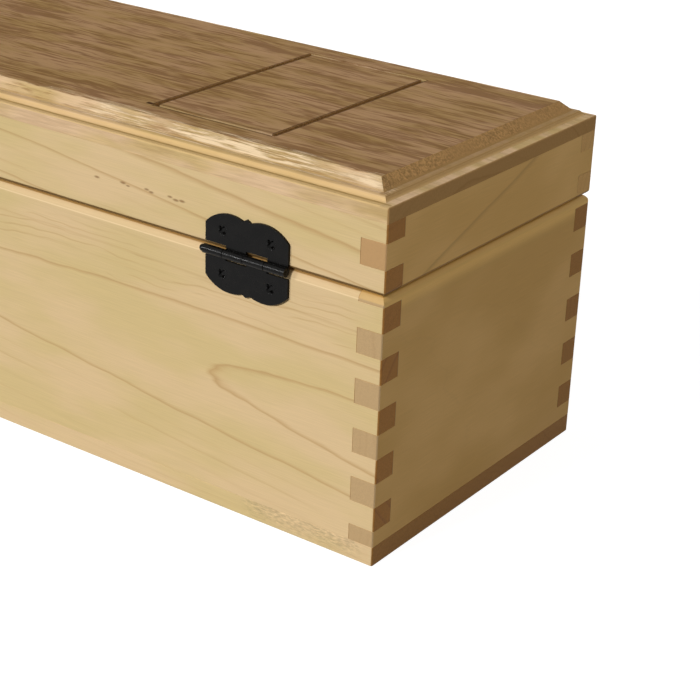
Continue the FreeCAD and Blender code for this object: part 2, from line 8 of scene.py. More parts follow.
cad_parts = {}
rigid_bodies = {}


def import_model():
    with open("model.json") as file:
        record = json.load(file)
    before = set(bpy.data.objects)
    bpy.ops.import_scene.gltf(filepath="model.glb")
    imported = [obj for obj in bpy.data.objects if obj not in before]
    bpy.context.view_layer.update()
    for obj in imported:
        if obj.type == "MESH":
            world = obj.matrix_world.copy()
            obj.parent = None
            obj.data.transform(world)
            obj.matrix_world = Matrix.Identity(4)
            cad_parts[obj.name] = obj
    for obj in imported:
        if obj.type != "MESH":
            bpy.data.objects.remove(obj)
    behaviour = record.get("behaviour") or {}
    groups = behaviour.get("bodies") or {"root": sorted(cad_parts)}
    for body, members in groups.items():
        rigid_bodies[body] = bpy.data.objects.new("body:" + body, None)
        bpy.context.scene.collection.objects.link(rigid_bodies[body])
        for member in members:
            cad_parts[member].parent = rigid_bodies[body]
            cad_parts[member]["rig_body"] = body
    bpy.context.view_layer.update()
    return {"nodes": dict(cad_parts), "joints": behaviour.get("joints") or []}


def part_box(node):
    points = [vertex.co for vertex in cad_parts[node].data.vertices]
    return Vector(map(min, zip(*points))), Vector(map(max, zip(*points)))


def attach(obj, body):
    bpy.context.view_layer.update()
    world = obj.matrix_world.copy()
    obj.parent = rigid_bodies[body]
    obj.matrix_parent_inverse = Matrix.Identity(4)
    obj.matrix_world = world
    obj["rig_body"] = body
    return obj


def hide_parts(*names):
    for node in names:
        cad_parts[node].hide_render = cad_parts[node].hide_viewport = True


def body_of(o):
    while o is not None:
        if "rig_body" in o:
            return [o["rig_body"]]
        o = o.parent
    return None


# A long finger-jointed wooden box with a moulded, hinged lid, black hinges and a hook latch.
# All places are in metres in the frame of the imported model. Wood patterns count in millimetres.

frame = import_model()
mm = 0.001
print("frame loaded:", len(frame["nodes"]), "nodes")


def srgb(red, green, blue):
    # Screen colour 0..255 to linear light, channel by channel.
    c = np.array([red, green, blue]) / 255
    linear = np.where(c <= 0.04045, c / 12.92, ((c + 0.055) / 1.055) ** 2.4)
    return (*linear.tolist(), 1.0)


# Small helpers for node trees

def newMaterial(name):
    material = bpy.data.materials.new(name)
    material.use_nodes = True
    tree = material.node_tree
    tree.nodes.clear()
    output = tree.nodes.new("ShaderNodeOutputMaterial")
    shader = tree.nodes.new("ShaderNodeBsdfPrincipled")
    tree.links.new(shader.outputs["BSDF"], output.inputs["Surface"])
    return material, tree, shader


def feed(tree, socket, value):
    # A socket takes either a link or a plain value.
    if isinstance(value, bpy.types.NodeSocket):
        tree.links.new(value, socket)
    else:
        socket.default_value = value


def calc(tree, operation, *values, clamp=False):
    node = tree.nodes.new("ShaderNodeMath")
    node.operation = operation
    node.use_clamp = clamp
    for socket, value in zip(node.inputs, values):
        feed(tree, socket, value)
    return node.outputs[0]


def vectorCalc(tree, operation, *values):
    node = tree.nodes.new("ShaderNodeVectorMath")
    node.operation = operation
    for socket, value in zip(node.inputs, values):
        feed(tree, socket, value)
    return node.outputs["Value"] if operation in ("LENGTH", "DOT_PRODUCT") else node.outputs["Vector"]


def ramp(tree, value, low, high, start=0.0, end=1.0):
    # A smooth step: start below low, end above high.
    node = tree.nodes.new("ShaderNodeMapRange")
    node.interpolation_type = "SMOOTHSTEP"
    for name, number in (("From Min", low), ("From Max", high), ("To Min", start), ("To Max", end)):
        feed(tree, node.inputs[name], number)
    feed(tree, node.inputs["Value"], value)
    return node.outputs["Result"]


def blendColours(tree, amount, first, second, kind="MIX"):
    node = tree.nodes.new("ShaderNodeMix")
    node.data_type = "RGBA"
    node.blend_type = kind
    feed(tree, node.inputs["Factor"], amount)
    feed(tree, node.inputs["A"], first)
    feed(tree, node.inputs["B"], second)
    return node.outputs["Result"]


def scaledColour(tree, colour, factor):
    scaled = vectorCalc(tree, "SCALE", colour)
    feed(tree, scaled.node.inputs["Scale"], factor)
    return scaled


def coordinates(tree, vector):
    # The x, y and z of a vector.
    node = tree.nodes.new("ShaderNodeSeparateXYZ")
    tree.links.new(vector, node.inputs["Vector"])
    return [node.outputs[axis] for axis in "XYZ"]


def vectorOf(tree, *values):
    node = tree.nodes.new("ShaderNodeCombineXYZ")
    for axis, value in zip("XYZ", values):
        feed(tree, node.inputs[axis], value)
    return node.outputs["Vector"]


def within(tree, value, low, high, soft):
    # 1 between low and high and 0 beyond them, with soft steps.
    return calc(tree, "MULTIPLY", ramp(tree, value, low - soft, low + soft),
                ramp(tree, value, high - soft, high + soft, 1.0, 0.0))


def insideBox(tree, point, low, high, soft):
    # 1 inside the box, 0 outside, with soft sides.
    inside = 1.0
    for value, start, stop in zip(coordinates(tree, point), low, high):
        inside = calc(tree, "MULTIPLY", inside, within(tree, value, start, stop, soft))
    return inside


def noise(tree, vector, scale=1.0, detail=2.0, roughness=0.5, seed=0.0):
    # Four-dimensional noise, whose fourth coordinate is the seed.
    node = tree.nodes.new("ShaderNodeTexNoise")
    node.noise_dimensions = "4D"
    tree.links.new(vector, node.inputs["Vector"])
    node.inputs["Scale"].default_value = scale
    node.inputs["Detail"].default_value = detail
    node.inputs["Roughness"].default_value = roughness
    node.inputs["W"].default_value = seed
    return node.outputs["Fac"]


def grainNoise(tree, point, size, **settings):
    # Noise whose lumps have a length along the grain and one across it, in millimetres.
    along, across = size
    return noise(tree, vectorCalc(tree, "MULTIPLY", point, (1 / along, 1 / across, 1 / across)), **settings)


def centred(tree, value):
    # Noise varies about a half, and this about zero.
    return calc(tree, "SUBTRACT", value, 0.5)


def addRelief(tree, shader, height, depth, strength):
    # A height pattern as bumps of a depth in millimetres.
    bump = tree.nodes.new("ShaderNodeBump")
    bump.inputs["Strength"].default_value = strength
    bump.inputs["Distance"].default_value = depth * mm
    tree.links.new(height, bump.inputs["Height"])
    tree.links.new(bump.outputs["Normal"], shader.inputs["Normal"])


def grainPoint(tree, alongY):
    # Object coordinates in millimetres, turned so that x runs along the grain, with the
    # object's own normal turned the same way. Where the grain runs along y, that makes the
    # point (y, -x, z).
    source = tree.nodes.new("ShaderNodeTexCoord")
    turned = []
    for output, kind, scale in (("Object", "POINT", 1 / mm), ("Normal", "NORMAL", 1.0)):
        mapping = tree.nodes.new("ShaderNodeMapping")
        mapping.vector_type = kind
        mapping.inputs["Scale"].default_value = (scale, scale, scale)
        mapping.inputs["Rotation"].default_value = (0, 0, -math.pi / 2 if alongY else 0)
        tree.links.new(source.outputs[output], mapping.inputs["Vector"])
        turned.append(mapping.outputs["Vector"])
    return turned


# Wood. Each board is sawn from its own log: rings lie round a pith that runs nearly along
# the board, so that faces, edges and ends all show the same rings. Every size is a length
# along the grain and one across it, and all lengths are in mm. Levels are values of the
# noise at which a pattern starts and at which it is full.

woodLook = {
    "alongY": False,                      # the grain runs along x unless this is set
    "seed": 1.0,

    "colour": srgb(218, 190, 146),        # early wood
    "tint": srgb(206, 184, 128),          # second hue, in broad clouds
    "cloud": 0.7,                         # share of the second hue
    "cloudSize": (60.0, 20.0),
    "cloudLevels": (0.35, 0.65),

    "lateColour": srgb(184, 146, 96),     # the thin dark lines of late wood
    "pith": (40.0, 60.0),                 # y and z where the pith crosses the board's middle
    "tilt": (0.05, 0.0),                  # how far the pith leaves the grain, per mm
    "ringSpacing": 3.6,
    "ringWaves": (0.14, 0.12),            # how unevenly the rings are spaced, in rings
    "waveRates": (1.9, 0.83),             # radians per ring
    "warp": 3.0,                          # slow bends of the rings
    "warpSize": (150.0, 34.0),
    "ripple": 0.9,                        # short bends
    "rippleSize": (24.0, 8.0),
    "ringContrast": (0.16, 0.58),         # weakest and strongest ring
    "boldRings": (),                      # numbers of the rings that stand out from the others
    "lineStrength": 0.70,
    "lineWidth": (1.5, 0.6),              # on the face, inside and outside a ring's edge
    "lineSharpness": 1.5,                 # the power that a line fades by
    "leastWidth": 0.16,                   # share of its width where a ring lies flat in the face
    "fadeSize": (60.0, 16.0),             # patches in which the lines fade
    "fadeLevels": (0.34, 0.6),
    "wavyLines": None,                    # thin extra grain lines in a zone, see wavyShare

    "figure": 0.6,                        # how far the streaks and clouds undulate
    "figureSize": (40.0, 12.0),
    "streakSize": ((34.0, 1.4), (12.0, 0.4)),    # wide and narrow streaks
    "streak": 0.0,                        # contrast of the dark streaks
    "streakColour": srgb(120, 92, 62),
    "streakLevels": (0.92, 1.16),
    "paleStreak": 0.0,                    # contrast of the pale ones
    "paleColour": srgb(240, 214, 176),
    "paleLevels": (1.0, 0.80),
    "fibre": 0.05,                        # contrast of fine fibres
    "fibreSize": (16.0, 0.22),
    "fibreLevels": (0.25, 0.75),

    "endColour": srgb(186, 158, 114),     # end grain
    "endRings": 0.6,                      # how strongly the rings show on it
    "endFacing": (0.3, 0.7),              # how far a face looks along the grain where it sets in
    "endSpeckle": 0.10,                   # contrast of the open pores
    "poreSize": 0.6,
    "poreLevels": (0.32, 0.68),
    "denseScale": 0.035,                  # of the places where pores stand close, per mm
    "denseLevels": (0.36, 0.58),
    "sparse": 0.3,                        # contrast between those places
    "speckleAbove": None,                 # z under which end grain is smooth
    "smooth": (-0.3, 0.7, 0.15),          # from there, where it starts and ends, and its contrast

    "brownField": None,                   # a darkened face between pale margins, see fieldShare
    "marks": (),                          # (lowest corner, highest corner, softness, colour, amount)
    "tearOut": None,                      # pale torn grain along an edge, see tearShares
    "tornPatches": (),                    # (lowest corner, highest corner, softness)
    "tatterSize": (2.6, 0.7),             # the short fibres in a torn patch
    "tatterContrast": 0.70,
    "tornShade": -0.07,                   # a torn patch is darker as a whole
    "bands": (),                          # (low, high, softness, colour, amount) along z
    "bandTop": (0.990, 0.998),            # how far a face looks up where the bands fade out
    "bandUnder": (-0.95, -0.7),           # and where they set in from an underside
    "pinKnots": None,                     # see pinKnotShare

    "roughness": 0.56,                    # early wood is a little rougher, late wood smoother
    "roughnessSpread": (0.03, -0.08),
    "specular": 0.12,
    "bump": 0.03,
    "bumpStrength": 0.8,
    "relief": {"fibres": 0.5, "streaks": -1.2, "pores": 1.5, "tatters": 6.0, "tears": 3.0},
}


def ringPhase(tree, point, look):
    # Distance from the pith over the ring spacing, bent by slow and short noise, with the
    # rings' spacing varied by two sines. Also gives the rings' outward direction.
    seed = look["seed"]
    slow = grainNoise(tree, point, look["warpSize"], detail=1.5, seed=seed)
    short = grainNoise(tree, point, look["rippleSize"], seed=seed + 7)
    x, y, z = coordinates(tree, point)
    offsets = []
    for place, pith, tilt in zip((y, z), look["pith"], look["tilt"]):
        drift = calc(tree, "MULTIPLY_ADD", x, tilt, pith)
        offsets.append(calc(tree, "SUBTRACT", place, drift))
    squares = [calc(tree, "MULTIPLY", offset, offset) for offset in offsets]
    distance = calc(tree, "SQRT", calc(tree, "ADD", *squares))
    slopes = [calc(tree, "MULTIPLY", offset, -tilt) for offset, tilt in zip(offsets, look["tilt"])]
    outward = vectorCalc(tree, "NORMALIZE", vectorOf(tree, calc(tree, "ADD", *slopes), *offsets))
    for bend, size in ((slow, look["warp"]), (short, look["ripple"])):
        distance = calc(tree, "MULTIPLY_ADD", centred(tree, bend), 2 * size, distance)
    rings = calc(tree, "DIVIDE", distance, look["ringSpacing"])
    phase = rings
    for rate, size in zip(look["waveRates"], look["ringWaves"]):
        wave = calc(tree, "SINE", calc(tree, "MULTIPLY_ADD", rings, rate, seed))
        phase = calc(tree, "MULTIPLY_ADD", wave, size, phase)
    return phase, outward


def ringLines(tree, point, normal, look):
    # A line along each ring's edge that fades slowly inwards and at once outwards. Its width
    # is counted on the face: the flatter a ring lies in the face, the narrower its share.
    phase, outward = ringPhase(tree, point, look)
    across = vectorCalc(tree, "DOT_PRODUCT", outward, normal)
    steep = calc(tree, "SUBTRACT", 1.0, calc(tree, "MULTIPLY", across, across))
    inFace = calc(tree, "MAXIMUM", calc(tree, "SQRT", steep, clamp=True), look["leastWidth"])
    ring = calc(tree, "ROUND", phase)
    gap = calc(tree, "SUBTRACT", phase, ring)
    sides = []
    for sign, width in zip((-1.0, 1.0), look["lineWidth"]):
        reach = calc(tree, "MULTIPLY", inFace, width / look["ringSpacing"])
        part = calc(tree, "DIVIDE", calc(tree, "MULTIPLY", gap, sign), reach)
        near = calc(tree, "SUBTRACT", 1.0, calc(tree, "ABSOLUTE", part), clamp=True)
        sides.append(calc(tree, "MULTIPLY", near, calc(tree, "GREATER_THAN", part, 0.0)))
    line = calc(tree, "POWER", calc(tree, "ADD", *sides), look["lineSharpness"])

    # Each ring's own strength is a random number, squared so that strong rings are rare.
    chance = tree.nodes.new("ShaderNodeTexWhiteNoise")
    chance.noise_dimensions = "1D"
    feed(tree, chance.inputs["W"], calc(tree, "ADD", ring, look["seed"]))
    rare = calc(tree, "POWER", chance.outputs["Value"], 2.0)
    weakest, strongest = look["ringContrast"]
    strength = calc(tree, "MULTIPLY_ADD", rare, strongest - weakest, weakest)
    patches = grainNoise(tree, point, look["fadeSize"], detail=1.0, seed=look["seed"] + 5)
    strength = calc(tree, "MULTIPLY", strength, ramp(tree, patches, *look["fadeLevels"]))
    for number in look["boldRings"]:
        bold = calc(tree, "COMPARE", ring, float(number), 0.4)
        strength = calc(tree, "MAXIMUM", strength, bold)
    return calc(tree, "MULTIPLY", line, strength)


def wavyShare(tree, point, wavy):
    # Thin lines along the grain, all bent alike by noise, with gaps, inside a zone.
    x, _, z = coordinates(tree, point)
    bend = grainNoise(tree, point, wavy["bendSize"], seed=51.0)
    level = calc(tree, "MULTIPLY_ADD", x, wavy["slope"], z)
    level = calc(tree, "MULTIPLY_ADD", bend, 2 * wavy["bend"], level)
    away = calc(tree, "PINGPONG", calc(tree, "DIVIDE", level, wavy["spacing"]), 0.5)
    line = ramp(tree, away, 0.0, wavy["width"] / wavy["spacing"], 1.0, 0.0)
    gaps = grainNoise(tree, point, wavy["gapSize"], detail=1.0, seed=53.0)
    line = calc(tree, "MULTIPLY", line, ramp(tree, gaps, *wavy["gapLevels"]))
    line = calc(tree, "MULTIPLY", line, wavy["strength"])
    return calc(tree, "MULTIPLY", line, insideBox(tree, point, wavy["low"], wavy["high"], wavy["soft"]))


def pinKnotShare(tree, point, knots):
    # Small dark knots on the board's outer face, a little longer along the grain: the distance
    # from each, shortened along x and y, between an inner and an outer share of its radius.
    inner, outer = knots["edge"]
    total = 0.0
    for x, z, radius in knots["places"]:
        away = vectorCalc(tree, "SUBTRACT", point, (x, knots["faceY"], z))
        away = vectorCalc(tree, "MULTIPLY", away, knots["shortened"])
        near = ramp(tree, vectorCalc(tree, "LENGTH", away), radius * inner, radius * outer, 1.0, 0.0)
        total = calc(tree, "MAXIMUM", total, near)
    return calc(tree, "MULTIPLY", total, knots["amount"])


def fieldShare(tree, point, field):
    # 1 on the darkened face, falling to 0 at a ragged line beside its long edges, with the
    # dark running down over the edge here and there.
    _, y, z = coordinates(tree, point)
    ragged = grainNoise(tree, point, field["raggedSize"], detail=3.0, roughness=0.65, seed=41.0)
    ragged = centred(tree, ragged)
    aside = calc(tree, "MULTIPLY_ADD", ragged, 2 * field["ragged"], calc(tree, "ABSOLUTE", y))
    edge = field["halfWidth"]
    inside = ramp(tree, aside, edge - field["soft"], edge + field["soft"], 1.0, 0.0)
    droop = calc(tree, "MAXIMUM", ragged, 0.0)
    level = calc(tree, "MULTIPLY_ADD", droop, field["droop"], z)
    return calc(tree, "MULTIPLY", inside, ramp(tree, level, field["faintAt"], field["fullAt"]))


def bentPoint(tree, point, look):
    # The point moved across the grain by slow noise, so that long streaks undulate.
    bend = centred(tree, grainNoise(tree, point, look["figureSize"], seed=look["seed"] + 13))
    aside = calc(tree, "MULTIPLY", bend, 2 * look["figure"])
    upwards = calc(tree, "MULTIPLY", bend, look["figure"])
    return vectorCalc(tree, "ADD", point, vectorOf(tree, 0.0, aside, upwards))


def tearShares(tree, point, tear):
    # Short slivers along the grain inside a zone, in patches that come and go along it: the
    # share of pale torn fibres and that of the brown gaps between them.
    zone = insideBox(tree, point, tear["low"], tear["high"], tear["soft"])
    slivers = grainNoise(tree, point, tear["sliverSize"], detail=3.0, roughness=0.62, seed=43.0)
    patches = grainNoise(tree, point, tear["patchSize"], detail=1.0, seed=47.0)
    x = coordinates(tree, point)[0]
    torn = calc(tree, "MULTIPLY_ADD", patches, tear["patchShare"], slivers)
    torn = calc(tree, "SUBTRACT", torn, ramp(tree, x, *tear["fade"], 0.0, tear["fadeBy"]))
    pale = ramp(tree, torn, *tear["levels"])
    gaps = ramp(tree, slivers, *tear["gapLevels"])
    return calc(tree, "MULTIPLY", pale, zone), calc(tree, "MULTIPLY", gaps, zone)


def faceColour(tree, point, rings, look):
    # The colour along the grain, one layer over another: two hues of early wood, late wood,
    # streaks, a darkened face, marks and torn grain. Also gives the streaks and the torn
    # fibres, which have a relief.
    seed = look["seed"]
    bent = bentPoint(tree, point, look)
    clouds = grainNoise(tree, bent, look["cloudSize"], seed=seed + 11)
    clouds = calc(tree, "MULTIPLY", ramp(tree, clouds, *look["cloudLevels"]), look["cloud"])
    colour = blendColours(tree, clouds, look["colour"], look["tint"])
    colour = blendColours(tree, rings, colour, look["lateColour"])
    if look["wavyLines"]:
        wavy = wavyShare(tree, point, look["wavyLines"])
        colour = blendColours(tree, wavy, colour, look["lateColour"])

    # Two sizes of long noise, sharpened, dark and pale, and faint outside the darkened face.
    wideSize, narrowSize = look["streakSize"]
    wide = grainNoise(tree, bent, wideSize, detail=3.0, roughness=0.6, seed=seed + 17)
    narrow = grainNoise(tree, bent, narrowSize, roughness=0.6, seed=seed + 19)
    both = calc(tree, "ADD", wide, narrow)
    streaks = calc(tree, "MULTIPLY", ramp(tree, both, *look["streakLevels"]), look["streak"])
    pale = calc(tree, "MULTIPLY", ramp(tree, both, *look["paleLevels"]), look["paleStreak"])
    field = look["brownField"]
    if field:
        inField = fieldShare(tree, point, field)
        share = ramp(tree, inField, 0.0, 1.0, field["streaksOutside"], 1.0)
        streaks = calc(tree, "MULTIPLY", streaks, share)
        pale = calc(tree, "MULTIPLY", pale, share)
    colour = blendColours(tree, streaks, colour, look["streakColour"])
    colour = blendColours(tree, pale, colour, look["paleColour"])
    if field:
        colour = blendColours(tree, inField, colour, field["colour"], "MULTIPLY")

    for low, high, soft, markColour, amount in look["marks"]:
        mark = calc(tree, "MULTIPLY", insideBox(tree, point, low, high, soft), amount)
        colour = blendColours(tree, mark, colour, markColour)
    tear = look["tearOut"]
    tears = 0.0
    if tear:
        tears, gaps = tearShares(tree, point, tear)
        between = calc(tree, "MULTIPLY", gaps, tear["gapAmount"])
        colour = blendColours(tree, between, colour, tear["gapColour"])
        torn = calc(tree, "MULTIPLY", tears, tear["amount"])
        colour = blendColours(tree, torn, colour, tear["colour"])
    return colour, streaks, tears


def tatterShares(tree, point, look):
    # Short fibres between -1 and 1 inside the torn patches, and the patches themselves.
    patches = 0.0
    for low, high, soft in look["tornPatches"]:
        patches = calc(tree, "MAXIMUM", patches, insideBox(tree, point, low, high, soft))
    tatters = grainNoise(tree, point, look["tatterSize"], detail=3.0, roughness=0.65, seed=look["seed"] + 27)
    tatters = calc(tree, "MULTIPLY", calc(tree, "MULTIPLY_ADD", tatters, 2.0, -1.0), patches)
    return tatters, patches


def endGrain(tree, point, rings, look):
    # The rings and the open ends of the pores, which stand closer in some places than in
    # others. Also gives the pores, which have a relief.
    seed = look["seed"]
    rings = calc(tree, "MULTIPLY", rings, look["endRings"])
    colour = blendColours(tree, rings, look["endColour"], look["lateColour"], "MULTIPLY")
    pores = noise(tree, point, 1 / look["poreSize"], roughness=0.65, seed=seed + 29)
    speckle = ramp(tree, pores, *look["poreLevels"], -look["endSpeckle"], look["endSpeckle"])
    dense = noise(tree, point, look["denseScale"], detail=1.0, seed=seed + 31)
    dense = ramp(tree, dense, *look["denseLevels"], look["sparse"], 1.0)
    speckle = calc(tree, "MULTIPLY", speckle, dense)
    if look["speckleAbove"]:
        start, end, contrast = look["smooth"]
        z = coordinates(tree, point)[2]
        upper = ramp(tree, z, look["speckleAbove"] + start, look["speckleAbove"] + end, contrast, 1.0)
        speckle = calc(tree, "MULTIPLY", speckle, upper)
    return scaledColour(tree, colour, calc(tree, "ADD", speckle, 1.0)), pores


def withBands(tree, point, normal, colour, look):
    # Bands of colour along z, painted shade and light along the seam and the panel's moulding, which leave
    # flat tops and undersides as they are.
    z = coordinates(tree, point)[2]
    upward = vectorCalc(tree, "DOT_PRODUCT", normal, (0, 0, 1))
    notLevel = calc(tree, "MULTIPLY", ramp(tree, upward, *look["bandUnder"]),
                    ramp(tree, upward, *look["bandTop"], 1.0, 0.0))
    for low, high, soft, bandColour, amount in look["bands"]:
        band = calc(tree, "MULTIPLY", within(tree, z, low, high, soft), notLevel)
        colour = blendColours(tree, calc(tree, "MULTIPLY", band, amount), colour, bandColour)
    return colour


def woodMaterial(name, **changes):
    # The face's colour, lightened and darkened by fibres and tatters, mixed with that of end
    # grain where the surface looks along the grain, under bands and pin knots.
    look = {**woodLook, **changes}
    material, tree, shader = newMaterial(name)
    point, normal = grainPoint(tree, look["alongY"])
    rings = calc(tree, "MULTIPLY", ringLines(tree, point, normal, look), look["lineStrength"])
    face, streaks, tears = faceColour(tree, point, rings, look)

    fibres = grainNoise(tree, point, look["fibreSize"], detail=3.0, roughness=0.55, seed=look["seed"] + 23)
    tatters, torn = tatterShares(tree, point, look)
    shade = ramp(tree, fibres, *look["fibreLevels"], 1 - look["fibre"], 1 + look["fibre"])
    shade = calc(tree, "MULTIPLY_ADD", tatters, look["tatterContrast"], shade)
    shade = calc(tree, "MULTIPLY_ADD", torn, look["tornShade"], shade)
    face = scaledColour(tree, face, shade)

    ends, pores = endGrain(tree, point, rings, look)
    facing = calc(tree, "ABSOLUTE", vectorCalc(tree, "DOT_PRODUCT", normal, (1, 0, 0)))
    endShare = ramp(tree, facing, *look["endFacing"])
    colour = blendColours(tree, endShare, face, ends)
    colour = withBands(tree, point, normal, colour, look)
    knots = look["pinKnots"]
    if knots:
        colour = blendColours(tree, pinKnotShare(tree, point, knots), colour, knots["colour"])
    tree.links.new(colour, shader.inputs["Base Color"])

    early, late = (look["roughness"] + change for change in look["roughnessSpread"])
    tree.links.new(ramp(tree, rings, 0.0, 1.0, early, late), shader.inputs["Roughness"])
    shader.inputs["Specular IOR Level"].default_value = look["specular"]

    heights = {"fibres": fibres, "streaks": streaks, "tatters": tatters, "tears": tears}
    heights["pores"] = calc(tree, "MULTIPLY", pores, endShare)
    relief = 0.0
    for part, height in heights.items():
        relief = calc(tree, "MULTIPLY_ADD", height, look["relief"][part], relief)
    addRelief(tree, shader, relief, look["bump"], look["bumpStrength"])
    return material


# Heights of the seams and of the panel's moulding, and the lid's back face, in mm

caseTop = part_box("case_back_board")[1][2] / mm
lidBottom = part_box("lid_back_rail")[0][2] / mm
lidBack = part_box("lid_back_rail")[1][1] / mm
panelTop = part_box("lid_top_panel")[1][2] / mm
fieldRise = 6.0               # of the panel's raised field above its ledge
ledgeHeight = panelTop - fieldRise

# Bands of painted light and shade along the seam: painted shade on the lid's lower edge and on the case's
# rim at the seam, painted light on the case's rounded rim below it, and a thin painted highlight where that
# rounding meets the face.
lidSeamShade = (lidBottom - 1.0, lidBottom + 1.5, 0.2, srgb(104, 74, 26), 0.92)
lidEndSeamShade = (lidBottom - 1.0, lidBottom + 1.6, 0.25, srgb(140, 102, 44), 0.85)
caseRimLight = (caseTop - 3.2, caseTop + 1.0, 0.3, srgb(222, 190, 144), 0.4)
caseEndRimLight = (caseTop - 2.6, caseTop - 0.4, 0.3, srgb(224, 184, 112), 0.5)
caseRimHighlight = (caseTop - 3.15, caseTop - 2.65, 0.12, srgb(244, 218, 172), 0.5)
seamShade = (caseTop - 0.6, caseTop + 1.0, 0.15, srgb(150, 110, 44), 0.82)
endSeamShade = (caseTop - 0.5, caseTop + 1.0, 0.2, srgb(152, 112, 44), 0.65)
rimOfLid = {"bands": (lidSeamShade,)}
rimOfCase = {"bands": (caseRimLight, caseRimHighlight, seamShade)}

softWood = {"endColour": srgb(168, 118, 60), "endSpeckle": 0.10}
# A warmer, more saturated copy of the wood for the boards of the end in shade: painted shade.
shadedWood = {
    "colour": srgb(222, 180, 114), "tint": srgb(206, 164, 96), "cloudSize": (70.0, 40.0),
    "cloud": 1.0, "alongY": True,
}

panelLook = {
    "grooveShade": srgb(64, 38, 12),
    "crossGrooves": (93.8, 151.8),  # x of each rectangle's short sides, from the middle
    "grooveMarkHeights": (-2.0, 0.5),    # of the grooves' painted shade and the strips beside them, from the panel's top
    # half width, half length, softness and amount of the painted shade in each cross groove
    "crossGrooveShade": (1.5, 51.0, 0.3, 0.9),
    # y from and to, and amount: painted shade in both long grooves, then dark strips along the edges of the
    # back one
    "longGrooveDarks": ((-51.9, -49.3, 0.35), (49.4, 51.6, 0.35), (48.5, 49.4, 0.45), (51.6, 52.6, 0.6)),
    "longGrooveDarkEnd": 0.5,            # how far they pass the cross grooves' middles
    # one groove's overshoot, a cut painted with the grooves' shade: length past a corner, y from and to,
    # half height and softness
    "overshoot": (4.0, 49.6, 51.6, 1.0, 0.25),
    # colour on the long sides' ledges, then painted shade in their inner corners: y from and to, half
    # length, height over the ledge, colour and amount
    "ledges": (
        (66.0, 80.0, 216.0, 0.2, srgb(216, 184, 128), 0.8),
        (70.6, 71.8, 219.0, 0.7, srgb(166, 134, 80), 0.75),
    ),
    "underLedge": -0.4,             # where both start, from the ledge
    # the near end's narrow shelf, darkened as painted shade: lowest and highest corner with z from the ledge
    "shelf": ((-217.5, -71.5, 1.9), (-212.0, 71.5, 2.8)),
    "shelfShade": (srgb(156, 122, 76), 0.7),
    "soft": 0.15,                   # softness where none is given
}


def panelMarks():
    # Boxes of colour over the panel's grain: the overshoot of one groove, painted shade in the long and the
    # cross grooves with dark strips beside the back one, the ledges with painted shade in their inner
    # corners, and painted shade on the near end's shelf.
    look = panelLook
    brown, soft = look["grooveShade"], look["soft"]
    inner, outer = look["crossGrooves"]
    past, front, back, rise, softer = look["overshoot"]
    marks = [((-inner, front, panelTop - rise), (past - inner, back, panelTop + rise), softer, brown, 1.0)]

    floor, top = (panelTop + height for height in look["grooveMarkHeights"])
    reach = (outer - inner) / 2 + look["longGrooveDarkEnd"]
    for middle in (-(inner + outer) / 2, (inner + outer) / 2):
        for front, back, amount in look["longGrooveDarks"]:
            marks.append(((middle - reach, front, floor), (middle + reach, back, top), soft, brown, amount))
    width, length, softer, amount = look["crossGrooveShade"]
    for x in (-outer, -inner, inner, outer):
        marks.append(((x - width, -length, floor), (x + width, length, top), softer, brown, amount))

    under = ledgeHeight + look["underLedge"]
    for near, far, end, rise, colour, amount in look["ledges"]:
        for front, back in ((-far, -near), (near, far)):
            marks.append(((-end, front, under), (end, back, ledgeHeight + rise), soft, colour, amount))
    low, high = ((x, y, ledgeHeight + height) for x, y, height in look["shelf"])
    marks.append((low, high, soft, *look["shelfShade"]))
    return marks


